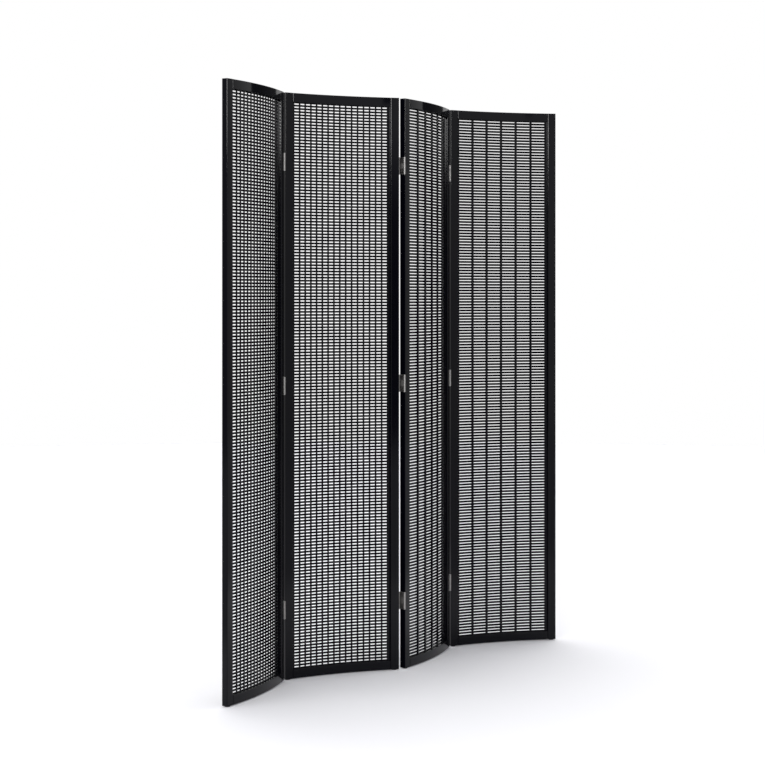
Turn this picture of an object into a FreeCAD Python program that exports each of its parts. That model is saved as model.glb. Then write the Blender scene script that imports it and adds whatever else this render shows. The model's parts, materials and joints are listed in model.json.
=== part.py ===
import FreeCAD, Part
import math
import os

Vector = FreeCAD.Vector
up = Vector(0, 0, 1)

# Sizes in millimetres and angles in degrees. X runs along the screen, -Y is its front, +Z is up.
overall_height = 1800.0

# panel frame: two upright stiles joined by two rails, all bent to one radius in plan
panel_chord = 388.0
bend_radius = 985.0
frame_depth = 20.0
stile_width = 28.0
top_rail_height = 28.0
bottom_rail_height = 28.0
stile_edge_radius = 2.0
rail_edge_radius = 1.0

# dowels that hold each rail end to its stile
dowel_radius = 3.0
dowel_depth_in_stile = 10.0
dowel_depth_in_rail = 20.0
dowel_end_room = 0.5
dowel_fit = 0.05
dowel_from_rail_edge = 8.0
dowel_spacing = 8.0

# lattice: level slats in one bent sheet in the middle of the frame, with upright strips glued to its front
row_count = 181
slat_thickness = 2.0
side_margin = 10.0
tongue = 6.0
groove_side_room = 0.15
groove_end_room = 0.5
glue_line = 0.4
fine_column_count = 16
fine_slat_height = 6.0
fine_strip_width = 5.0
fine_strip_depth = 3.0
open_column_count = 6
open_slat_height = 7.0
open_strip_width = 7.4
open_strip_depth = 5.0

# glide under each stile: a disc with a nail
glide_height = 3.0
glide_radius = 8.0
glide_edge_radius = 0.8
nail_radius = 2.0
nail_length = 10.0
nail_fit = 0.05
nail_end_room = 0.5

# folding: the angle that each fold is turned from flat, as the screen stands
first_panel_angle = 23.4
fold_1_2_angle = 44.0
fold_2_3_angle = 42.3
fold_3_4_angle = 47.7

# two-way hinge: a link between two leaves, with one pin at the front and one at the back
fold_gap = 9.0
pin_stand_off = 0.6
hinge_height = 54.0
hinge_from_end = 213.0
barrel_radius = 3.8
pin_radius = 2.0
pin_fit = 0.05
pin_end = 0.6
knuckle_room = 0.3
leaf_thickness = 1.6
link_thickness = 1.6
barrel_side_room = 0.5

# countersunk screws that hold each leaf to its stile
screw_radius = 1.5
screw_head_radius = 2.7
screw_length = 14.0
screw_tip = 2.0
screw_fit = 0.05
screw_end_room = 0.5

# sizes that follow from those above
stile_bottom = glide_height
stile_height = overall_height - glide_height
half_angle = math.asin(panel_chord / 2 / bend_radius)
stile_angle = stile_width / bend_radius
inner_angle = half_angle - stile_angle
cell_angle = inner_angle - side_margin / bend_radius
groove_depth = tongue + groove_end_room
opening_bottom = stile_bottom + bottom_rail_height
opening_top = overall_height - top_rail_height
row_pitch = (opening_top - opening_bottom) / row_count
pin_offset = frame_depth / 2 + pin_stand_off
knuckle_height = (hinge_height - 2 * knuckle_room) / 3
leaf_half_width = pin_offset - barrel_radius - barrel_side_room
screw_rise = (knuckle_height + knuckle_room + hinge_height / 2) / 2
hinge_heights = [
    stile_bottom + hinge_from_end,
    stile_bottom + stile_height / 2,
    overall_height - hinge_from_end,
]

# a bulge of 1 is a panel that curves towards the front, and -1 one that curves towards the back
fine_lattice = {
    "columns": fine_column_count,
    "slat": fine_slat_height,
    "strip": fine_strip_width,
    "strip_depth": fine_strip_depth,
}
open_lattice = {
    "columns": open_column_count,
    "slat": open_slat_height,
    "strip": open_strip_width,
    "strip_depth": open_strip_depth,
}
panels = [
    {"name": "panel_1", "bulge": 1, **fine_lattice},
    {"name": "panel_2", "bulge": -1, **fine_lattice},
    {"name": "panel_3", "bulge": 1, **open_lattice},
    {"name": "panel_4", "bulge": -1, **open_lattice},
]
folds = [
    {"name": "fold_1_2", "side": -1, "angle": fold_1_2_angle},
    {"name": "fold_2_3", "side": 1, "angle": fold_2_3_angle},
    {"name": "fold_3_4", "side": -1, "angle": fold_3_4_angle},
]


# a panel is drawn with its chord along X, the middle of its arc at the origin and its front to -Y
def on_panel(bulge, depth, angle, z):
    radius = radius_at(bulge, depth)
    x = radius * math.sin(angle)
    y = bulge * (bend_radius - radius * math.cos(angle))
    return Vector(x, y, z)


# depth is measured from the front face
def radius_at(bulge, depth):
    return bend_radius + bulge * (frame_depth / 2 - depth)


def along_panel(bulge, angle):
    return Vector(math.cos(angle), bulge * math.sin(angle), 0)


def through_panel(bulge, angle):
    return Vector(-bulge * math.sin(angle), math.cos(angle), 0)


# a curved block between two depths, two angles and two heights
def bent_block(bulge, depths, angles, heights):
    middle = (angles[0] + angles[1]) / 2
    front = [on_panel(bulge, depths[0], a, heights[0]) for a in (angles[0], middle, angles[1])]
    back = [on_panel(bulge, depths[1], a, heights[0]) for a in (angles[0], middle, angles[1])]
    edges = [
        Part.Arc(front[0], front[1], front[2]).toShape(),
        Part.makeLine(front[2], back[2]),
        Part.Arc(back[2], back[1], back[0]).toShape(),
        Part.makeLine(back[0], front[0]),
    ]
    outline = Part.Wire(edges)
    return Part.Face(outline).extrude(up * (heights[1] - heights[0]))


def is_upright(edge):
    ends = [v.Point for v in edge.Vertexes]
    return len(ends) == 2 and abs(ends[1].z - ends[0].z) > 1


# side is -1 for the left end of a panel and 1 for its right end
def dowel_line(panel, side, z):
    angle = side * inner_angle
    start = on_panel(panel["bulge"], frame_depth / 2, angle, z)
    return start, along_panel(panel["bulge"], angle) * side


def dowel_heights(rail_edge, direction):
    first = rail_edge + direction * dowel_from_rail_edge
    return [first, first + direction * dowel_spacing]


def all_dowel_heights():
    return dowel_heights(stile_bottom, 1) + dowel_heights(overall_height, -1)


def dowel(panel, side, z):
    start, outward = dowel_line(panel, side, z)
    length = dowel_depth_in_rail + dowel_depth_in_stile
    return Part.makeCylinder(dowel_radius, length, start - outward * dowel_depth_in_rail, outward)


def dowel_hole(panel, side, z):
    start, outward = dowel_line(panel, side, z)
    base = start - outward * (dowel_depth_in_rail + dowel_end_room)
    length = dowel_depth_in_rail + dowel_depth_in_stile + 2 * dowel_end_room
    return Part.makeCylinder(dowel_radius + dowel_fit, length, base, outward)


def glide_centre(panel, side):
    return on_panel(panel["bulge"], frame_depth / 2, side * (half_angle - stile_angle / 2), 0)


def glide(panel, side):
    centre = glide_centre(panel, side)
    disc = Part.makeCylinder(glide_radius, glide_height, centre)
    rim = [e for e in disc.Edges if len(e.Vertexes) == 1 and e.Vertexes[0].Z < glide_height / 2]
    disc = disc.makeFillet(glide_edge_radius, rim)
    nail = Part.makeCylinder(nail_radius, nail_length, centre + up * glide_height)
    return disc.fuse(nail).removeSplitter()


def glide_hole(panel, side):
    depth = nail_length + nail_end_room
    return Part.makeCylinder(nail_radius + nail_fit, depth, glide_centre(panel, side) + up * stile_bottom)


def lattice_depths(panel):
    slat_front = (frame_depth - slat_thickness) / 2
    return slat_front - panel["strip_depth"], slat_front, slat_front + slat_thickness


def stile(panel, side, screw_holes):
    bulge = panel["bulge"]
    angles = sorted([side * half_angle, side * inner_angle])
    body = bent_block(bulge, (0, frame_depth), angles, (stile_bottom, overall_height))
    body = body.makeFillet(stile_edge_radius, [e for e in body.Edges if is_upright(e)])
    strip_front, slat_front, slat_back = lattice_depths(panel)
    groove_angles = sorted([side * inner_angle, side * (inner_angle + groove_depth / bend_radius)])
    groove_angles[0 if side > 0 else 1] -= side * 1.0 / bend_radius
    groove = bent_block(
        bulge,
        (slat_front - groove_side_room, slat_back + groove_side_room),
        groove_angles,
        (opening_bottom - groove_depth, opening_top + groove_depth),
    )
    holes = [dowel_hole(panel, side, z) for z in all_dowel_heights()]
    return body.cut([groove, glide_hole(panel, side)] + holes + screw_holes)


def rail(panel, bottom, top, opening_edge, direction):
    bulge = panel["bulge"]
    angles = (-inner_angle, inner_angle)
    body = bent_block(bulge, (0, frame_depth), angles, (bottom, top))
    long_edges = [e for e in body.Edges if e.Length > panel_chord / 2]
    body = body.makeFillet(rail_edge_radius, long_edges)
    strip_front, slat_front, slat_back = lattice_depths(panel)
    groove = bent_block(
        bulge,
        (strip_front - groove_side_room, slat_back + groove_side_room),
        angles,
        sorted([opening_edge - direction * 1.0, opening_edge + direction * groove_depth]),
    )
    first_edge = stile_bottom if direction < 0 else overall_height
    heights = dowel_heights(first_edge, -direction)
    holes = [dowel_hole(panel, side, z) for side in (-1, 1) for z in heights]
    return body.cut([groove] + holes)


# the sheet is two upright borders with the slats between them, all in one piece
def slats(panel):
    bulge = panel["bulge"]
    strip_front, slat_front, slat_back = lattice_depths(panel)
    depths = (slat_front, slat_back)
    edge_angle = inner_angle + tongue / bend_radius
    bottom = opening_bottom - tongue
    top = opening_top + tongue
    left_border = bent_block(bulge, depths, (-edge_angle, -cell_angle), (bottom, top))
    joined = [bent_block(bulge, depths, (cell_angle, edge_angle), (bottom, top))]
    for row in range(row_count + 1):
        middle = opening_bottom + row * row_pitch
        low = bottom if row == 0 else middle - panel["slat"] / 2
        high = top if row == row_count else middle + panel["slat"] / 2
        joined.append(bent_block(bulge, depths, (-cell_angle, cell_angle), (low, high)))
    return left_border.fuse(joined)


def strips(panel):
    bulge = panel["bulge"]
    columns = panel["columns"]
    cells_width = 2 * cell_angle * bend_radius
    cell_width = (cells_width - (columns - 1) * panel["strip"]) / columns
    pitch = (cell_width + panel["strip"]) / bend_radius
    strip_front, slat_front, slat_back = lattice_depths(panel)
    made = []
    for number in range(1, columns):
        angle = (number - columns / 2) * pitch
        thickness = panel["strip_depth"] - glue_line
        bar = Part.makeBox(panel["strip"], thickness, opening_top - opening_bottom + 2 * tongue)
        bar.translate(Vector(-panel["strip"] / 2, 0, opening_bottom - tongue))
        bar.rotate(Vector(0, 0, 0), up, math.degrees(bulge * angle))
        bar.translate(on_panel(bulge, strip_front, angle, 0))
        made.append(bar)
    return Part.makeCompound(made)


# a hinge is drawn flat at the middle of its height, with the left panel to -X and the back to +Y
def box_between(x, y, z):
    return Part.makeBox(x[1] - x[0], y[1] - y[0], z[1] - z[0], Vector(x[0], y[0], z[0]))


def hinge_round(radius, y, z):
    return Part.makeCylinder(radius, z[1] - z[0], Vector(0, y, z[0]))


def knuckle_spans():
    low = -hinge_height / 2
    step = knuckle_height + knuckle_room
    return [(low + i * step, low + i * step + knuckle_height) for i in range(3)]


def leaf():
    near = -fold_gap / 2
    thick = (near, near + leaf_thickness)
    width = (-leaf_half_width, leaf_half_width)
    plate = box_between(thick, width, (-hinge_height / 2, hinge_height / 2))
    middle = knuckle_spans()[1]
    tab = box_between(thick, (0, pin_offset), middle)
    body = plate.fuse([tab, hinge_round(barrel_radius, pin_offset, middle)])
    holes = [hinge_round(pin_radius + pin_fit, pin_offset, middle)]
    holes += [screw_shape(rise, screw_fit, 0) for rise in (-screw_rise, screw_rise)]
    return body.cut(holes).removeSplitter()


def link():
    half = link_thickness / 2
    width = (-leaf_half_width, leaf_half_width)
    body = box_between((-half, half), width, (-hinge_height / 2, hinge_height / 2))
    spans = knuckle_spans()
    pieces = []
    for span in (spans[0], spans[2]):
        pieces.append(box_between((-half, half), (-pin_offset, pin_offset), span))
        pieces += [hinge_round(barrel_radius, y, span) for y in (-pin_offset, pin_offset)]
    body = body.fuse(pieces)
    full = (-hinge_height / 2, hinge_height / 2)
    bores = [hinge_round(pin_radius + pin_fit, y, full) for y in (-pin_offset, pin_offset)]
    return body.cut(bores).removeSplitter()


def pins():
    span = (-hinge_height / 2 - pin_end, hinge_height / 2 + pin_end)
    return [hinge_round(pin_radius, y, span) for y in (-pin_offset, pin_offset)]


# the screw's head lies level with the leaf, and its point goes into the left panel
def screw_shape(rise, room, end_room):
    face = -fold_gap / 2 + leaf_thickness
    head_depth = screw_head_radius - screw_radius
    centre = Vector(face, 0, rise)
    inward = Vector(-1, 0, 0)
    head = Part.makeCone(screw_head_radius + room, screw_radius + room, head_depth, centre, inward)
    shank_length = screw_length - head_depth - screw_tip
    shank = Part.makeCylinder(screw_radius + room, shank_length, centre + inward * head_depth, inward)
    tip_start = centre + inward * (screw_length - screw_tip)
    if room:
        tip = Part.makeCylinder(screw_radius + room, screw_tip + end_room, tip_start, inward)
    else:
        tip = Part.makeCone(screw_radius, screw_radius / 3, screw_tip, tip_start, inward)
    return head.fuse([shank, tip]).removeSplitter()


def screws(room, end_room):
    return [screw_shape(rise, room, end_room) for rise in (-screw_rise, screw_rise)]


# the three hinges of a fold, in the frame of one panel's end; the right end of a panel takes them as drawn
def at_panel_end(panel, side, shapes):
    made = []
    angle = side * half_angle
    gap_middle = on_panel(panel["bulge"], frame_depth / 2, angle, 0)
    gap_middle += along_panel(panel["bulge"], angle) * side * fold_gap / 2
    turn = math.degrees(panel["bulge"] * angle)
    for height in hinge_heights:
        for shape in shapes:
            copy = shape.copy()
            copy.rotate(Vector(0, 0, 0), up, turn)
            copy.translate(gap_middle + up * height)
            made.append(copy)
    return made


# a left-hand piece turned half round fits the right-hand panel
def turned(shapes):
    made = []
    for shape in shapes:
        copy = shape.copy()
        copy.rotate(Vector(0, 0, 0), up, 180)
        made.append(copy)
    return made


def end_of(panel, side):
    angle = side * half_angle
    point = on_panel(panel["bulge"], frame_depth / 2, angle, 0)
    return panel["placement"].multVec(point), panel["turn"] + panel["bulge"] * angle


def direction(angle):
    return Vector(math.cos(angle), math.sin(angle), 0)


def place(panel, turn, offset):
    panel["turn"] = turn
    panel["placement"] = FreeCAD.Placement(offset, FreeCAD.Rotation(up, math.degrees(turn)))


# each panel is hung from the pin of the fold on its left that is turned, front or back
def stand_panels():
    place(panels[0], math.radians(first_panel_angle), Vector(0, 0, 0))
    for fold, left, right in zip(folds, panels, panels[1:]):
        end, angle = end_of(left, 1)
        back = direction(angle + math.pi / 2)
        pin = end + direction(angle) * (fold_gap / 2) + back * (fold["side"] * pin_offset)
        next_angle = angle + fold["side"] * math.radians(fold["angle"])
        next_back = direction(next_angle + math.pi / 2)
        start = pin + direction(next_angle) * (fold_gap / 2) - next_back * (fold["side"] * pin_offset)
        turn = next_angle + right["bulge"] * half_angle
        place(right, turn, Vector(0, 0, 0))
        corner, corner_angle = end_of(right, -1)
        place(right, turn, start - corner)
        link_panel, link_side = (left, 1) if fold["side"] < 0 else (right, -1)
        fold["link"] = (link_panel, link_side)


def centre_on_origin(shapes):
    box = FreeCAD.BoundBox()
    for shape in shapes:
        box.add(shape.optimalBoundingBox(False, False))
    return Vector(-box.Center.x, -box.Center.y, 0)


def pin_lines(fold):
    panel, side = fold["link"]
    end, angle = end_of(panel, side)
    middle = end + direction(angle) * (side * fold_gap / 2)
    back = direction(angle + math.pi / 2)
    return middle - back * pin_offset, middle + back * pin_offset


def panel_nodes(number, panel):
    name = panel["name"]
    screw_holes = screws(screw_fit, screw_end_room)
    left_holes = at_panel_end(panel, -1, turned(screw_holes)) if number > 0 else []
    right_holes = at_panel_end(panel, 1, screw_holes) if number < len(panels) - 1 else []
    dowels = [dowel(panel, side, z) for side in (-1, 1) for z in all_dowel_heights()]
    made = {
        name + "_left_stile": stile(panel, -1, left_holes),
        name + "_right_stile": stile(panel, 1, right_holes),
        name + "_top_rail": rail(panel, opening_top, overall_height, opening_top, 1),
        name + "_bottom_rail": rail(panel, stile_bottom, opening_bottom, opening_bottom, -1),
        name + "_slats": slats(panel),
        name + "_strips": strips(panel),
        name + "_dowels": Part.makeCompound(dowels),
        name + "_glides": Part.makeCompound([glide(panel, side) for side in (-1, 1)]),
    }
    for shape in made.values():
        shape.Placement = panel["placement"].multiply(shape.Placement)
    return made


def fold_nodes(fold, left, right):
    name = fold["name"]
    link_panel, link_side = fold["link"]
    groups = {
        name + "_left_leaves": (left, 1, [leaf()]),
        name + "_right_leaves": (right, -1, turned([leaf()])),
        name + "_links": (link_panel, link_side, [link()]),
        name + "_pins": (link_panel, link_side, pins()),
        name + "_left_screws": (left, 1, screws(0, 0)),
        name + "_right_screws": (right, -1, turned(screws(0, 0))),
    }
    made = {}
    for node, (panel, side, shapes) in groups.items():
        group = Part.makeCompound(at_panel_end(panel, side, shapes))
        group.Placement = panel["placement"].multiply(group.Placement)
        made[node] = group
    return made


stand_panels()
nodes = {}
for number, panel in enumerate(panels):
    nodes.update(panel_nodes(number, panel))
for fold, left, right in zip(folds, panels, panels[1:]):
    nodes.update(fold_nodes(fold, left, right))

shift = centre_on_origin(nodes.values())
os.makedirs("parts", exist_ok=True)
for name, shape in nodes.items():
    shape.translate(shift)
    shape.exportStep("parts/" + name + ".step")
    volume = round(shape.Volume, 1)
    print(name, "solids", len(shape.Solids), "valid", shape.isValid(), "volume", volume)

for fold in folds:
    front, back = pin_lines(fold)
    for label, point in (("front", front + shift), ("back", back + shift)):
        print("pin", fold["name"], label, round(point.x, 4), round(point.y, 4))
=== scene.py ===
import bpy
import bmesh
import json
import math
from mathutils import Matrix, Vector


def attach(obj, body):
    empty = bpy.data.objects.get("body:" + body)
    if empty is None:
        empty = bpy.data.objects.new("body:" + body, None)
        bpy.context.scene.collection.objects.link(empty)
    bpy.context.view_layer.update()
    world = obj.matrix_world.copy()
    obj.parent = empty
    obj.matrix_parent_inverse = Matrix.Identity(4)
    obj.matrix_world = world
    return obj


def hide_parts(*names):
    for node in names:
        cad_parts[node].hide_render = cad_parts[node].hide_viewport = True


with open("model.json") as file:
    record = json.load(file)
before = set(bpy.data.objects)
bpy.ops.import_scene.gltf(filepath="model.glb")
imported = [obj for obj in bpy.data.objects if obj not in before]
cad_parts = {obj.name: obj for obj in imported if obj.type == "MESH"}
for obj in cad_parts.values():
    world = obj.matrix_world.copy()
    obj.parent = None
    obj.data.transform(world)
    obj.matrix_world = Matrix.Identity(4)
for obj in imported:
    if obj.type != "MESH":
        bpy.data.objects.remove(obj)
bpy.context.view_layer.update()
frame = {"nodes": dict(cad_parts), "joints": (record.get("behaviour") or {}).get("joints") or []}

screen = {  # metres, as the frame holds them
    "height": 1.8,
    "glideHeight": 0.003,
    "chord": 0.388,
    "bendRadius": 0.985,
    "depth": 0.020,
    "stileWidth": 0.028,
    "railHeight": 0.028,
    "foldGap": 0.009,
    "pinOffset": 0.0106,
    "flatAngle": 35.0,  # degrees, past which an edge is drawn sharp
}
halfAngle = math.asin(screen["chord"] / 2 / screen["bendRadius"])
innerAngle = halfAngle - screen["stileWidth"] / screen["bendRadius"]
stileAngle = (halfAngle + innerAngle) / 2
openingBottom = screen["glideHeight"] + screen["railHeight"]
openingTop = screen["height"] - screen["railHeight"]
up = Vector((0, 0, 1))
pins = {joint["name"]: Vector(joint["pos_m"]) for joint in frame["joints"]}

fineLattice = {"columns": 16, "slatHeight": 0.0060, "stripWidth": 0.0050, "stripDepth": 0.0030}
openLattice = {"columns": 6, "slatHeight": 0.0070, "stripWidth": 0.0074, "stripDepth": 0.0050}
panels = [  # bulge 1 curves to the front, turn is in degrees, end is the one on the pin, pinSide -1 is front
    {"body": "panel_1", "bulge": 1, "turn": 23.4, **fineLattice,
     "pin": "fold_1_2_front_pin", "end": 1, "pinSide": -1},
    {"body": "panel_2", "bulge": -1, "turn": -20.6, **fineLattice,
     "pin": "fold_1_2_front_pin", "end": -1, "pinSide": -1},
    {"body": "panel_3", "bulge": 1, "turn": 21.7, **openLattice,
     "pin": "fold_2_3_back_pin", "end": -1, "pinSide": 1},
    {"body": "panel_4", "bulge": -1, "turn": -26.0, **openLattice,
     "pin": "fold_3_4_front_pin", "end": -1, "pinSide": -1},
]


def onArc(panel, depth, angle, z=0.0):  # depth runs back from the front face
    radius = screen["bendRadius"] + panel["bulge"] * (screen["depth"] / 2 - depth)
    y = panel["bulge"] * (screen["bendRadius"] - radius * math.cos(angle))
    return Vector((radius * math.sin(angle), y, z))


def alongArc(panel, angle):
    return Vector((math.cos(angle), panel["bulge"] * math.sin(angle), 0))


def throughArc(panel, angle):
    return Vector((-panel["bulge"] * math.sin(angle), math.cos(angle), 0))


def standPanel(panel):
    endAngle = panel["end"] * halfAngle
    spot = onArc(panel, screen["depth"] / 2, endAngle)
    spot += alongArc(panel, endAngle) * (panel["end"] * screen["foldGap"] / 2)
    spot += throughArc(panel, endAngle) * (panel["pinSide"] * screen["pinOffset"])
    turn = Matrix.Rotation(math.radians(panel["turn"]), 4, "Z")
    foot = pins[panel["pin"]] - turn @ spot
    panel["place"] = Matrix.Translation((foot.x, foot.y, 0)) @ turn


for panel in panels:
    standPanel(panel)
print("stage: panels stand on their pins")


class Wire:  # a shader socket that takes part in plain sums
    def __init__(self, tree, socket=None):
        self.tree = tree
        self.socket = socket

    def node(self, kind, settings, sockets, output=0):
        made = self.tree.nodes.new("ShaderNode" + kind)
        for name, value in settings.items():
            if name == "stops":
                ramp = made.color_ramp
                while len(ramp.elements) < len(value):
                    ramp.elements.new(0.5)
                for stop, (place, tone) in zip(ramp.elements, value):
                    stop.position = place
                    stop.color = (tone, tone, tone, 1)
            else:
                setattr(made, name, value)
        for name, value in sockets.items():
            if isinstance(value, Wire):
                self.tree.links.new(value.socket, made.inputs[name])
            else:
                made.inputs[name].default_value = value
        return Wire(self.tree, made.outputs[output] if made.outputs else None)

    def sums(self, operation, first, second):
        return self.node("Math", {"operation": operation}, {0: first, 1: second})

    def __add__(self, other):
        return self.sums("ADD", self, other)

    __radd__ = __add__

    def __sub__(self, other):
        return self.sums("SUBTRACT", self, other)

    def __rsub__(self, other):
        return self.sums("SUBTRACT", other, self)

    def __mul__(self, other):
        return self.sums("MULTIPLY", self, other)

    __rmul__ = __mul__


def newMaterial(name):
    made = bpy.data.materials.new(name)
    made.use_nodes = True
    made.node_tree.nodes.clear()
    return made, Wire(made.node_tree)


def shadeWith(wire, shader):
    wire.node("OutputMaterial", {}, {"Surface": shader})


def shadePiece(wire, colour, roughness, bump, constants):
    sockets = {"Base Color": colour, "Roughness": roughness, "Normal": bump, **constants}
    shadeWith(wire, wire.node("BsdfPrincipled", {}, sockets))


def objectPlace(wire):
    return wire.node("TexCoord", {}, {}, "Object")


def clouds(wire, place, pattern):  # a pattern is a noise's scale and detail
    scale, detail = pattern
    return wire.node("TexNoise", {}, {"Vector": place, "Scale": scale, "Detail": detail})


def streaks(wire, place, pattern):  # the same with a scale for each axis
    scale, detail = pattern
    stretched = wire.node("Mapping", {}, {"Vector": place, "Scale": scale})
    return clouds(wire, stretched, (1.0, detail))


def tones(wire, mask, look):
    colours = {"Factor": mask, 6: (*look["dark"], 1), 7: (*look["light"], 1)}
    return wire.node("Mix", {"data_type": "RGBA"}, colours, 2)


def bumped(wire, height, look):
    sockets = {"Height": height, "Strength": look["bump"], "Distance": look["bumpDepth"]}
    return wire.node("Bump", {}, sockets)


lacquer = {
    "dark": (0.0007, 0.0007, 0.0022),
    "light": (0.0014, 0.0014, 0.0036),
    "ior": 1.5,
    "mottle": (9.0, 3.0),
    "wipe": ((60, 60, 9), 3.0),
    "dust": (1700.0, 0.0),
    "dustReach": (0.70, 0.80),  # clean below the first, all dust above the second
    "peel": (240.0, 1.0),
    "wipeDull": 0.05,  # what wipe marks and dust add to the roughness
    "dustDull": 0.06,
    "peelRise": 0.6,
    "poreRise": 0.5,
    "bump": 0.012,
    "bumpDepth": 0.00012,
}
lacquerLooks = {  # the pores run along each kind of piece
    "stile": {"gloss": 0.17, "roughness": 0.065, "pores": ((900, 900, 14), 4.0)},
    "rail": {"gloss": 0.17, "roughness": 0.035, "pores": ((30, 30, 900), 4.0)},
    "slat": {"gloss": 0.14, "roughness": 0.12, "pores": ((40, 40, 1200), 4.0)},
    "strip": {"gloss": 0.14, "roughness": 0.12, "pores": ((1200, 1200, 18), 4.0)},
}


def lacquerMaterial(name, look):
    made, wire = newMaterial(name)
    place = objectPlace(wire)
    mottle = clouds(wire, place, lacquer["mottle"])
    wipe = streaks(wire, place, lacquer["wipe"])
    specks = clouds(wire, place, lacquer["dust"])
    clean, dusty = lacquer["dustReach"]
    dust = wire.node("MapRange", {}, {"Value": specks, "From Min": clean, "From Max": dusty})
    pores = streaks(wire, place, look["pores"])
    peel = clouds(wire, place, lacquer["peel"])
    shine = look["roughness"] + wipe * lacquer["wipeDull"] + dust * lacquer["dustDull"]
    bump = bumped(wire, peel * lacquer["peelRise"] + pores * lacquer["poreRise"], lacquer)
    constants = {"IOR": lacquer["ior"], "Specular IOR Level": look["gloss"]}
    shadePiece(wire, tones(wire, mottle, lacquer), shine, bump, constants)
    return made


brushing = {
    "brush": ((300, 300, 5200), 3.0),
    "stain": (130.0, 3.0),
    "brushShare": 0.5,  # how much of the colour follows the brushing, and how much the stains
    "stainShare": 0.5,
    "brushDull": 0.12,
    "stainDull": 0.10,
    "bump": 0.12,
    "bumpDepth": 0.00008,
}
nickel = {"dark": (0.14, 0.136, 0.134), "light": (0.37, 0.36, 0.353), "roughness": 0.36}
steel = {"dark": (0.42, 0.42, 0.42), "light": (0.62, 0.61, 0.60), "roughness": 0.18}


def metalMaterial(name, look):
    made, wire = newMaterial(name)
    place = objectPlace(wire)
    brush = streaks(wire, place, brushing["brush"])
    stain = clouds(wire, place, brushing["stain"])
    colour = tones(wire, brush * brushing["brushShare"] + stain * brushing["stainShare"], look)
    shine = look["roughness"] + brush * brushing["brushDull"] + stain * brushing["stainDull"]
    shadePiece(wire, colour, shine, bumped(wire, brush, brushing), {"Metallic": 1.0})
    return made


plastic = {
    "dark": (0.010, 0.010, 0.011),
    "light": (0.024, 0.024, 0.025),
    "roughness": 0.42,
    "speckle": (2600.0, 2.0),
    "scuff": (320.0, 4.0),
    "scuffDull": 0.2,
    "bump": 0.25,
    "bumpDepth": 0.0001,
}


def plasticMaterial(name):
    made, wire = newMaterial(name)
    place = objectPlace(wire)
    speckle = clouds(wire, place, plastic["speckle"])
    scuff = clouds(wire, place, plastic["scuff"])
    shine = plastic["roughness"] + scuff * plastic["scuffDull"]
    shadePiece(wire, tones(wire, scuff, plastic), shine, bumped(wire, speckle, plastic), {})
    return made


beech = {
    "dark": (0.40, 0.25, 0.13),
    "light": (0.66, 0.47, 0.29),
    "roughness": 0.55,
    "grain": ((90, 90, 900), 4.0),
    "fleck": (1500.0, 2.0),
    "grainShare": 0.7,
    "fleckShare": 0.3,
    "fleckDull": 0.15,
    "bump": 0.3,
    "bumpDepth": 0.0001,
}


def beechMaterial(name):
    made, wire = newMaterial(name)
    place = objectPlace(wire)
    grain = streaks(wire, place, beech["grain"])
    fleck = clouds(wire, place, beech["fleck"])
    colour = tones(wire, grain * beech["grainShare"] + fleck * beech["fleckShare"], beech)
    shine = beech["roughness"] + fleck * beech["fleckDull"]
    shadePiece(wire, colour, shine, bumped(wire, grain, beech), {})
    return made


finishes = {
    "stile": lacquerMaterial("stileLacquer", lacquerLooks["stile"]),
    "rail": lacquerMaterial("railLacquer", lacquerLooks["rail"]),
    "slat": lacquerMaterial("slatLacquer", lacquerLooks["slat"]),
    "strip": lacquerMaterial("stripLacquer", lacquerLooks["strip"]),
    "hinge": metalMaterial("satinNickel", nickel),
    "steel": metalMaterial("brightSteel", steel),
    "plastic": plasticMaterial("glidePlastic"),
    "wood": beechMaterial("dowelBeech"),
}
print("stage: finishes", len(finishes))

weldGap = 1e-6  # metres: points nearer than this are one
plumbGap = 1e-5  # metres: an edge that leans less than this is upright
cornerAngle = 0.9  # radians: a sharper edge than this is a corner


def titled(words):
    return "".join(word.title() for word in words.split("_"))


def finishPiece(bm, name, body, node, finish, flatAngle):
    bmesh.ops.remove_doubles(bm, verts=bm.verts, dist=weldGap)
    bmesh.ops.recalc_face_normals(bm, faces=bm.faces)
    for face in bm.faces:
        face.smooth = True
    for edge in bm.edges:
        edge.smooth = len(edge.link_faces) == 2 and edge.calc_face_angle() < math.radians(flatAngle)
    mesh = bpy.data.meshes.new(name)
    bm.to_mesh(mesh)
    bm.free()
    made = bpy.data.objects.new(name, mesh)
    bpy.context.scene.collection.objects.link(made)
    mesh.materials.append(finishes[finish])
    keepFlats = made.modifiers.new("keepFlats", "WEIGHTED_NORMAL")
    keepFlats.keep_sharp = True
    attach(made, body)
    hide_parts(node)


def finishOnPanel(bm, panel, words, finish):
    bmesh.ops.transform(bm, matrix=panel["place"], verts=bm.verts)
    body = panel["body"]
    finishPiece(bm, body + titled(words), body, body + "_" + words, finish, screen["flatAngle"])


def vertsOf(geom):
    return [item for item in geom if isinstance(item, bmesh.types.BMVert)]


def edgesOf(geom):
    return [item for item in geom if isinstance(item, bmesh.types.BMEdge)]


def edgesAround(verts):
    return list({edge for vert in verts for edge in vert.link_edges})


def everything(bm):
    return bm.verts[:] + bm.edges[:] + bm.faces[:]


def roundEdges(bm, edges, radius, segments, affect="EDGES"):
    bmesh.ops.bevel(bm, geom=list(edges), offset=radius, offset_type="OFFSET", segments=segments,
                    profile=0.5, affect=affect, material=-1, clamp_overlap=True)


def isUpright(edge):
    first, second = edge.verts
    return (first.co.xy - second.co.xy).length < plumbGap


def isCorner(edge):
    return len(edge.link_faces) == 2 and edge.calc_face_angle() > cornerAngle


def uprightCorners(bm):
    return [edge for edge in bm.edges if isUpright(edge) and isCorner(edge)]


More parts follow.
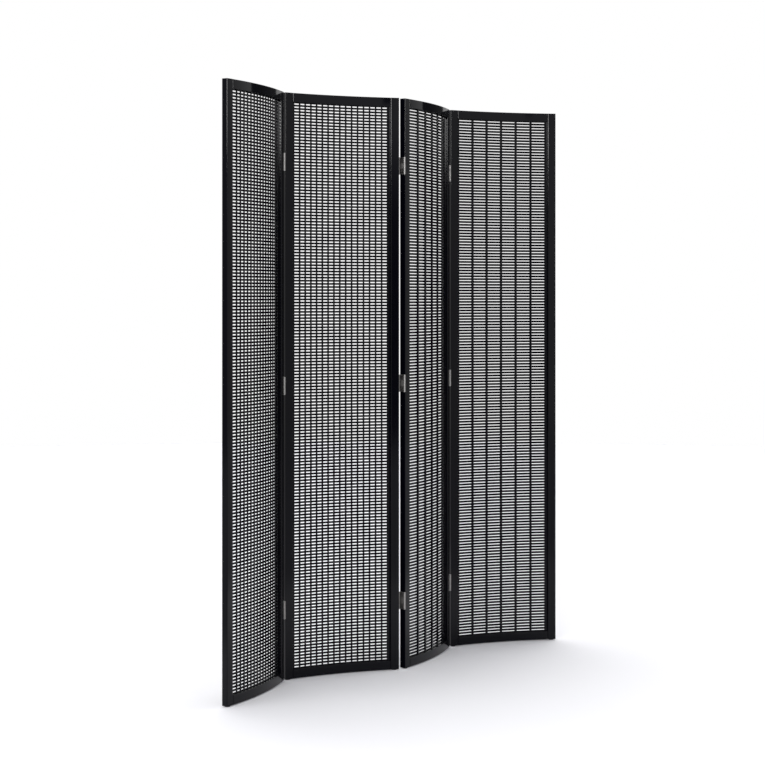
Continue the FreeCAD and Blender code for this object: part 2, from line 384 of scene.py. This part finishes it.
def sweepAlongArc(bm, panel, geom, sweep, steps):
    centre = (0, panel["bulge"] * screen["bendRadius"], 0)
    bmesh.ops.spin(bm, geom=geom, cent=centre, axis=up, angle=panel["bulge"] * sweep, steps=steps)


def section(bm, panel, angle, depths, heights):  # an upright face across the panel, ready to sweep
    front, back = depths
    low, high = heights
    corners = [(front, low), (back, low), (back, high), (front, high)]
    return bm.faces.new([bm.verts.new(onArc(panel, depth, angle, z)) for depth, z in corners])


stile = {
    "innerRadius": 0.003,
    "innerSteps": 6,
    "foldRadius": 0.0013,  # on the edges beside a hinge
    "freeRadius": 0.0024,  # on the outermost edges of the screen
    "outerSteps": 5,
    "endRadius": 0.0005,
    "endSteps": 2,
    "sweepSteps": 4,
}


def makeStile(panel, side):
    bm = bmesh.new()
    start, stop = sorted([side * halfAngle, side * innerAngle])
    foot = screen["glideHeight"]
    ends = [bm.verts.new(onArc(panel, depth, start, foot)) for depth in (0, screen["depth"])]
    edge = bm.edges.new(ends)
    sweepAlongArc(bm, panel, [edge, *ends], stop - start, stile["sweepSteps"])
    risen = bmesh.ops.extrude_face_region(bm, geom=bm.faces[:])["geom"]
    bmesh.ops.translate(bm, vec=up * (screen["height"] - foot), verts=vertsOf(risen))
    bmesh.ops.recalc_face_normals(bm, faces=bm.faces)
    middle = onArc(panel, 0, stileAngle).x
    inner = [edge for edge in uprightCorners(bm) if abs(edge.verts[0].co.x) < middle]
    roundEdges(bm, inner, stile["innerRadius"], stile["innerSteps"])
    isFree = panel is (panels[0] if side < 0 else panels[-1])
    outerRadius = stile["freeRadius"] if isFree else stile["foldRadius"]
    roundEdges(bm, uprightCorners(bm), outerRadius, stile["outerSteps"])
    rims = [edge for edge in bm.edges if not isUpright(edge) and isCorner(edge)]
    roundEdges(bm, rims, stile["endRadius"], stile["endSteps"])
    finishOnPanel(bm, panel, "left_stile" if side < 0 else "right_stile", "stile")


rail = {
    "edgeRadius": 0.001,
    "edgeSteps": 4,
    "endRadius": 0.002,  # on the upright edges that meet the stiles
    "endSteps": 5,
    "sweepSteps": 48,
}


def makeRail(panel, words, heights):
    bm = bmesh.new()
    section(bm, panel, -innerAngle, (0, screen["depth"]), heights)
    sweepAlongArc(bm, panel, everything(bm), 2 * innerAngle, rail["sweepSteps"])
    bmesh.ops.recalc_face_normals(bm, faces=bm.faces)
    roundEdges(bm, uprightCorners(bm), rail["endRadius"], rail["endSteps"])
    roundEdges(bm, [edge for edge in bm.edges if isCorner(edge)], rail["edgeRadius"], rail["edgeSteps"])
    finishOnPanel(bm, panel, words, "rail")


lattice = {
    "rows": 181,
    "sideMargin": 0.010,
    "slatFront": 0.009,
    "slatBack": 0.011,
    "tuck": 0.001,  # how far the lattice goes into the frame
    "slatChamfer": 0.0003,
    "slatSteps": 9,
    "borderSteps": 2,
    "stripRadius": 0.0004,
    "stripSteps": 2,
}
cellAngle = innerAngle - lattice["sideMargin"] / screen["bendRadius"]
tuckAngle = lattice["tuck"] / screen["bendRadius"]


def makeSlats(panel):
    bm = bmesh.new()
    depths = (lattice["slatFront"], lattice["slatBack"])
    pitch = (openingTop - openingBottom) / lattice["rows"]
    half = panel["slatHeight"] / 2
    face = section(bm, panel, -cellAngle, depths, (openingBottom - half, openingBottom + half))
    frontLine = onArc(panel, lattice["slatFront"], -cellAngle)
    front = [vert for vert in face.verts if (vert.co.xy - frontLine.xy).length < weldGap]
    roundEdges(bm, front, lattice["slatChamfer"], 1, "VERTICES")
    sweepAlongArc(bm, panel, everything(bm), 2 * cellAngle, lattice["slatSteps"])
    first = everything(bm)
    for row in range(1, lattice["rows"] + 1):
        copied = bmesh.ops.duplicate(bm, geom=first)["geom"]
        bmesh.ops.translate(bm, vec=up * (row * pitch), verts=vertsOf(copied))
    heights = (openingBottom - lattice["tuck"], openingTop + lattice["tuck"])
    border = innerAngle + tuckAngle - cellAngle
    for start in (-innerAngle - tuckAngle, cellAngle):
        side = section(bm, panel, start, depths, heights)
        sweepAlongArc(bm, panel, [side, *side.edges, *side.verts], border, lattice["borderSteps"])
    finishOnPanel(bm, panel, "slats", "slat")


def makeStrips(panel):
    bm = bmesh.new()
    columns, width, thick = panel["columns"], panel["stripWidth"], panel["stripDepth"]
    cells = 2 * cellAngle * screen["bendRadius"]
    pitch = ((cells - (columns - 1) * width) / columns + width) / screen["bendRadius"]
    tall = openingTop - openingBottom + 2 * lattice["tuck"]
    depth = lattice["slatFront"] - thick / 2
    for number in range(1, columns):
        angle = (number - columns / 2) * pitch
        middle = onArc(panel, depth, angle, (openingBottom + openingTop) / 2)
        turn = Matrix.Rotation(panel["bulge"] * angle, 4, "Z")
        shape = Matrix.Translation(middle) @ turn @ Matrix.Diagonal((width, thick, tall, 1))
        bmesh.ops.create_cube(bm, size=1, matrix=shape)
    upright = [edge for edge in bm.edges if isUpright(edge)]
    roundEdges(bm, upright, lattice["stripRadius"], lattice["stripSteps"])
    finishOnPanel(bm, panel, "strips", "strip")


glide = {
    "radius": 0.008,
    "edge": 0.0008,
    "edgeShare": 0.3,  # where the rounded edge's middle point lies
    "nailRadius": 0.002,
    "nail": 0.010,
    "steps": 32,
}


def makeGlides(panel):
    bm = bmesh.new()
    radius, edge, nail = glide["radius"], glide["edge"], glide["nailRadius"]
    bulge = edge * glide["edgeShare"]
    top = screen["glideHeight"]
    nailTop = top + glide["nail"]
    outline = [(0, 0), (radius - edge, 0), (radius - bulge, bulge), (radius, edge),
               (radius, top), (nail, top), (nail, nailTop), (0, nailTop)]
    for side in (-1, 1):
        middle = onArc(panel, screen["depth"] / 2, side * stileAngle)
        points = [bm.verts.new(middle + Vector((x, 0, z))) for x, z in outline]
        edges = [bm.edges.new(pair) for pair in zip(points, points[1:])]
        bmesh.ops.spin(bm, geom=edges + points, cent=middle, axis=up, angle=math.tau,
                       steps=glide["steps"], use_merge=True)
    finishOnPanel(bm, panel, "glides", "plastic")


for panel in panels:
    makeStile(panel, -1)
    makeStile(panel, 1)
    makeRail(panel, "top_rail", (openingTop, screen["height"]))
    makeRail(panel, "bottom_rail", (screen["glideHeight"], openingBottom))
    makeSlats(panel)
    makeStrips(panel)
    makeGlides(panel)
    dowels = frame["nodes"][panel["body"] + "_dowels"].data
    dowels.materials.clear()
    dowels.materials.append(finishes["wood"])
    print("stage:", panel["body"], "frame and lattice")


hinge = {
    "tall": 0.054,
    "heights": (0.216, 0.9015, 1.587),
    "barrel": 0.0038,
    "room": 0.0003,
    "leaf": 0.0016,
    "link": 0.0016,
    "sideRoom": 0.0005,
    "pinRadius": 0.0020,
    "pinEnd": 0.0006,
    "pinEdge": 0.00045,
    "edge": 0.0003,
    "edgeSteps": 2,
    "roundSteps": 28,
    "flatAngle": 40.0,
}
halfTall = hinge["tall"] / 2
knuckle = (hinge["tall"] - 2 * hinge["room"]) / 3
leafHalf = screen["pinOffset"] - hinge["barrel"] - hinge["sideRoom"]
spans = [-halfTall + third * (knuckle + hinge["room"]) for third in range(3)]


def addBlock(bm, x, y, z):
    size = [high - low for low, high in (x, y, z)]
    middle = [(low + high) / 2 for low, high in (x, y, z)]
    shape = Matrix.Translation(middle) @ Matrix.Diagonal((*size, 1))
    made = bmesh.ops.create_cube(bm, size=1, matrix=shape)["verts"]
    roundEdges(bm, edgesAround(made), hinge["edge"], hinge["edgeSteps"])


def addRound(bm, radius, spot, tall, edge):  # a cylinder with softened ends, standing on spot
    shape = Matrix.Translation(spot) @ Matrix.Translation((0, 0, tall / 2))
    made = bmesh.ops.create_cone(bm, cap_ends=True, segments=hinge["roundSteps"], radius1=radius,
                                 radius2=radius, depth=tall, matrix=shape)["verts"]
    rims = [rim for rim in edgesAround(made) if isCorner(rim)]
    roundEdges(bm, rims, edge, hinge["edgeSteps"])


def leafShape(bm):  # drawn for the panel on the left; its knuckle is at the back
    thick = (-screen["foldGap"] / 2, -screen["foldGap"] / 2 + hinge["leaf"])
    addBlock(bm, thick, (-leafHalf, leafHalf), (-halfTall, halfTall))
    addBlock(bm, thick, (0, screen["pinOffset"]), (spans[1], spans[1] + knuckle))
    addRound(bm, hinge["barrel"], (0, screen["pinOffset"], spans[1]), knuckle, hinge["edge"])


def linkShape(bm):
    thick = (-hinge["link"] / 2, hinge["link"] / 2)
    reach = screen["pinOffset"]
    addBlock(bm, thick, (-leafHalf, leafHalf), (-halfTall, halfTall))
    for low in (spans[0], spans[2]):
        addBlock(bm, thick, (-reach, reach), (low, low + knuckle))
        for side in (-1, 1):
            addRound(bm, hinge["barrel"], (0, side * reach, low), knuckle, hinge["edge"])


def pinShape(bm):
    low = -halfTall - hinge["pinEnd"]
    for side in (-1, 1):
        foot = (0, side * screen["pinOffset"], low)
        addRound(bm, hinge["pinRadius"], foot, -2 * low, hinge["pinEdge"])


screw = {
    "rise": (knuckle + hinge["room"] + halfTall) / 2,  # from the hinge's middle
    "head": 0.0027,
    "headSteps": 24,
    "length": 0.014,
    "cross": 0.0011,
    "crossDepth": 0.0007,
    "neckDepth": 0.0012,
    "neckShare": 0.56,  # of the head's width
    "tip": 0.002,
    "tipShare": 0.3,  # of the shank's width
}


def sinkCross(bm, faces, rise):  # the middle row and column of the grid
    arms = []
    for face in faces:
        middle = face.calc_center_median()
        if min(abs(middle.y), abs(middle.z - rise)) < weldGap:
            arms.append(face)
    sunk = bmesh.ops.extrude_face_region(bm, geom=arms)["geom"]
    bmesh.ops.delete(bm, geom=arms, context="FACES_KEEP_BOUNDARY")
    bmesh.ops.translate(bm, vec=(-screw["crossDepth"], 0, 0), verts=vertsOf(sunk))


def drawOn(bm, edges, centre, share, length):  # carries a rim on into the stile
    made = bmesh.ops.extrude_edge_only(bm, edges=edges)["geom"]
    around = Matrix.Translation(-centre)
    bmesh.ops.scale(bm, vec=(1, share, share), space=around, verts=vertsOf(made))
    bmesh.ops.translate(bm, vec=(-length, 0, 0), verts=vertsOf(made))
    return edgesOf(made)


def screwShape(bm):
    leafFace = -screen["foldGap"] / 2 + hinge["leaf"]
    inward = Matrix.Rotation(-math.pi / 2, 4, "Y")  # local +Z turns to -X, into the stile
    shankLength = screw["length"] - screw["neckDepth"] - screw["tip"]
    for rise in (-screw["rise"], screw["rise"]):
        centre = Vector((leafFace, 0, rise))
        spot = Matrix.Translation(centre) @ inward
        grid = bmesh.ops.create_grid(bm, x_segments=3, y_segments=3, size=screw["cross"], matrix=spot)
        faces = list({face for vert in grid["verts"] for face in vert.link_faces})
        outer = [edge for edge in edgesAround(grid["verts"]) if edge.is_boundary]
        head = bmesh.ops.create_circle(bm, segments=screw["headSteps"], radius=screw["head"], matrix=spot)
        rim = edgesAround(head["verts"])
        bmesh.ops.bridge_loops(bm, edges=outer + rim)
        sinkCross(bm, faces, rise)
        neck = drawOn(bm, rim, centre, screw["neckShare"], screw["neckDepth"])
        shank = drawOn(bm, neck, centre, 1.0, shankLength)
        tip = drawOn(bm, shank, centre, screw["tipShare"], screw["tip"])
        bmesh.ops.contextual_create(bm, geom=tip)


halfTurn = Matrix.Rotation(math.pi, 4, "Z")


def hingeSpots(panel, side):  # one place for each of the three hinges at a panel's end
    angle = side * halfAngle
    middle = onArc(panel, screen["depth"] / 2, angle)
    middle += alongArc(panel, angle) * (side * screen["foldGap"] / 2)
    turn = Matrix.Rotation(panel["bulge"] * angle, 4, "Z")
    return [panel["place"] @ Matrix.Translation(middle + up * z) @ turn for z in hinge["heights"]]


def makeHingePiece(fold, words, body, shape, spots, finish):
    name = fold["name"].replace("_", "") + titled(words)
    one = bmesh.new()
    shape(one)
    bmesh.ops.recalc_face_normals(one, faces=one.faces)
    pattern = bpy.data.meshes.new(name + "Pattern")
    one.to_mesh(pattern)
    one.free()
    bm = bmesh.new()
    for spot in spots:
        before = set(bm.verts)
        bm.from_mesh(pattern)
        bmesh.ops.transform(bm, matrix=spot, verts=[vert for vert in bm.verts if vert not in before])
    bpy.data.meshes.remove(pattern)
    finishPiece(bm, name, body, fold["name"] + "_" + words, finish, hinge["flatAngle"])


folds = [  # the link lies along the left panel where the front pin has turned, else along the right one
    {"name": "fold_1_2", "left": 0, "linkOnLeft": True},
    {"name": "fold_2_3", "left": 1, "linkOnLeft": False},
    {"name": "fold_3_4", "left": 2, "linkOnLeft": True},
]
for fold in folds:
    left, right = panels[fold["left"]], panels[fold["left"] + 1]
    leftSpots = hingeSpots(left, 1)
    rightSpots = [spot @ halfTurn for spot in hingeSpots(right, -1)]
    linkSpots = leftSpots if fold["linkOnLeft"] else hingeSpots(right, -1)
    linkBody = fold["name"] + "_link"
    makeHingePiece(fold, "left_leaves", left["body"], leafShape, leftSpots, "hinge")
    makeHingePiece(fold, "left_screws", left["body"], screwShape, leftSpots, "steel")
    makeHingePiece(fold, "right_leaves", right["body"], leafShape, rightSpots, "hinge")
    makeHingePiece(fold, "right_screws", right["body"], screwShape, rightSpots, "steel")
    makeHingePiece(fold, "links", linkBody, linkShape, linkSpots, "hinge")
    makeHingePiece(fold, "pins", linkBody, pinShape, linkSpots, "steel")
    print("stage:", fold["name"], "hinges")


camera = {
    "spot": (-4.18502, -4.12785, 1.17958),
    "yaw": 44.708,  # degrees from +X
    "lens": 87.085,
    "sensor": 36.0,
    "shift": -0.11434,
    "farEnd": 200.0,
}
yaw = math.radians(camera["yaw"])
ahead = Vector((math.cos(yaw), math.sin(yaw), 0))
rightward = Vector((ahead.y, -ahead.x, 0))


def linkToScene(name, data):
    made = bpy.data.objects.new(name, data)
    bpy.context.scene.collection.objects.link(made)
    return made


def makeCamera():
    lens = bpy.data.cameras.new("photoView")
    lens.lens = camera["lens"]
    lens.sensor_width = camera["sensor"]
    lens.shift_y = camera["shift"]
    lens.clip_end = camera["farEnd"]
    made = linkToScene("photoView", lens)
    made.location = camera["spot"]
    made.rotation_euler = (math.pi / 2, 0, yaw - math.pi / 2)
    bpy.context.scene.camera = made


def seenPlainly(wire):
    rays = ("Is Camera Ray", "Is Glossy Ray", "Is Transmission Ray")
    seen, shiny, clear = [wire.node("LightPath", {}, {}, ray) for ray in rays]
    return seen + shiny + clear


def fade(wire, value, ends):  # 1 up to the first end, 0 past the second
    reach = {"Value": value, "From Min": ends[0], "From Max": ends[1], "To Min": 1.0, "To Max": 0.0}
    return wire.node("MapRange", {"interpolation_type": "SMOOTHSTEP"}, reach)


floor = {
    "radius": 9.0,
    "steps": 96,
    # pale is the floor's colour outside the painted pool of light
    "pale": 0.55,
    "soft": 0.30,  # the tone that lights the screen from below
    "paintedPoolFront": (1.27, 2.2),  # where the painted pool of light on the floor starts to fade, and where it ends in the pale floor
    "paintedPoolSide": (1.25, 2.0),
    "paintedPoolFlare": 0.21,
}


def makeFloor():
    bm = bmesh.new()
    bmesh.ops.create_circle(bm, cap_ends=True, segments=floor["steps"], radius=floor["radius"])
    mesh = bpy.data.meshes.new("studioFloor")
    bm.to_mesh(mesh)
    bm.free()
    made = linkToScene("studioFloor", mesh)
    material, wire = newMaterial("studioFloor")
    place = objectPlace(wire)
    across = wire.node("VectorMath", {"operation": "DOT_PRODUCT"}, {0: place, 1: rightward}, "Value")
    along = wire.node("VectorMath", {"operation": "DOT_PRODUCT"}, {0: place, 1: ahead}, "Value")
    beside = wire.sums("MAXIMUM", across, 0 - across) - along * floor["paintedPoolFlare"]
    before = 0 - along
    # painted light: the floor's colour is white near the screen and fades to the pale tone further out, a
    # painted pool of light
    paintedPool = fade(wire, beside, floor["paintedPoolSide"]) * fade(wire, before, floor["paintedPoolFront"])
    tone = floor["pale"] + (1 - floor["pale"]) * paintedPool
    white = wire.node("BsdfDiffuse", {}, {"Color": tone})
    soft = wire.node("BsdfDiffuse", {}, {"Color": (floor["soft"],) * 3 + (1,)})
    shadeWith(wire, wire.node("MixShader", {}, {0: seenPlainly(wire), 1: soft, 2: white}))
    mesh.materials.append(material)


room = {
    "ambient": 0.52,
    "ambientTint": (0.92, 0.92, 1.0, 1),
    "lift": 4.0,  # how fast the room brightens above eye level
    "tones": [  # azimuth in degrees and tone: white behind the screen, pale grey on the camera's side
        (-180, 0.30), (-158, 0.30), (-140, 0.60), (-118, 0.94), (-98, 0.88), (-84, 0.75),
        (-63, 0.56), (-40, 0.44), (-24, 0.42), (-11, 0.63), (6, 0.95), (15, 1.0),
        (80, 1.0), (100, 0.85), (125, 0.50), (155, 0.28), (180, 0.30),
    ],
    "flags": [  # dark cloths outside the picture: azimuths in degrees, heights and soft tops as sines
        (-110.0, -103.5, -0.085, 0.105, 0.065),
        (-105.2, -102.3, 0.1, 0.12, 0.004),
        (-10.3, 11.5, 0.05, 0.16, 0.005),
    ],
    "flagTone": 0.06,
}


def behindFlag(wire, azimuth, height, flag):
    left, right, low, high, soft = flag
    within = wire.sums("GREATER_THAN", azimuth, math.radians(left))
    within *= wire.sums("LESS_THAN", azimuth, math.radians(right))
    return within * wire.sums("GREATER_THAN", height, low) * fade(wire, height, (high - soft, high))


def makeWorld():
    world = bpy.data.worlds.new("studioRoom")
    bpy.context.scene.world = world
    world.use_nodes = True
    world.node_tree.nodes.clear()
    wire = Wire(world.node_tree)
    heading = wire.node("TexCoord", {}, {}, "Generated")
    x, y, height = [wire.node("SeparateXYZ", {}, {0: heading}, axis) for axis in "XYZ"]
    azimuth = wire.sums("ARCTAN2", y, x)
    stops = [((degrees + 180) / 360, tone) for degrees, tone in room["tones"]]
    walls = wire.node("ValToRGB", {"stops": stops}, {"Fac": azimuth * (1 / math.tau) + 0.5})
    tone = walls * (1 + wire.sums("MAXIMUM", height, 0.0) * room["lift"])
    for flag in room["flags"]:
        tone = tone * (1 - behindFlag(wire, azimuth, height, flag) * (1 - room["flagTone"]))
    capped = wire.sums("MINIMUM", tone, 1.0)
    soft = wire.node("Background", {}, {"Color": room["ambientTint"], "Strength": room["ambient"]})
    seen = wire.node("Background", {}, {"Color": (1, 1, 1, 1), "Strength": capped})
    shaded = wire.node("MixShader", {}, {0: seenPlainly(wire), 1: soft, 2: seen})
    wire.node("OutputWorld", {}, {"Surface": shaded})


suns = {  # spread is the softness in degrees
    "overheadSoft": {"strength": 1.62, "spread": 62.0, "heading": -ahead * 0.64 - rightward * 0.12 - up},
    "leftSoft": {"strength": 0.42, "spread": 36.0, "heading": ahead * 0.5 + rightward * 0.8 - up * 0.75},
}
lamps = {
    "leftBox": {"power": 420.0, "size": (4.8, 0.8), "spot": (-7.25, -4.44, 2.69), "target": (0, 0, 1.65)},
}


def pointAlong(made, heading):
    made.rotation_euler = heading.to_track_quat("-Z", "Y").to_euler()


def makeSun(name, sun):
    light = bpy.data.lights.new(name, "SUN")
    light.energy = sun["strength"]
    light.angle = math.radians(sun["spread"])
    pointAlong(linkToScene(name, light), sun["heading"])


def makeLamp(name, lamp):
    light = bpy.data.lights.new(name, "AREA")
    light.shape = "RECTANGLE"
    light.size, light.size_y = lamp["size"]
    light.energy = lamp["power"]
    made = linkToScene(name, light)
    made.location = lamp["spot"]
    pointAlong(made, Vector(lamp["target"]) - Vector(lamp["spot"]))


makeFloor()
makeWorld()
makeCamera()
for name, sun in suns.items():
    makeSun(name, sun)
for name, lamp in lamps.items():
    makeLamp(name, lamp)
bpy.context.scene.view_settings.view_transform = "Standard"
print("stage: floor, lights and camera")
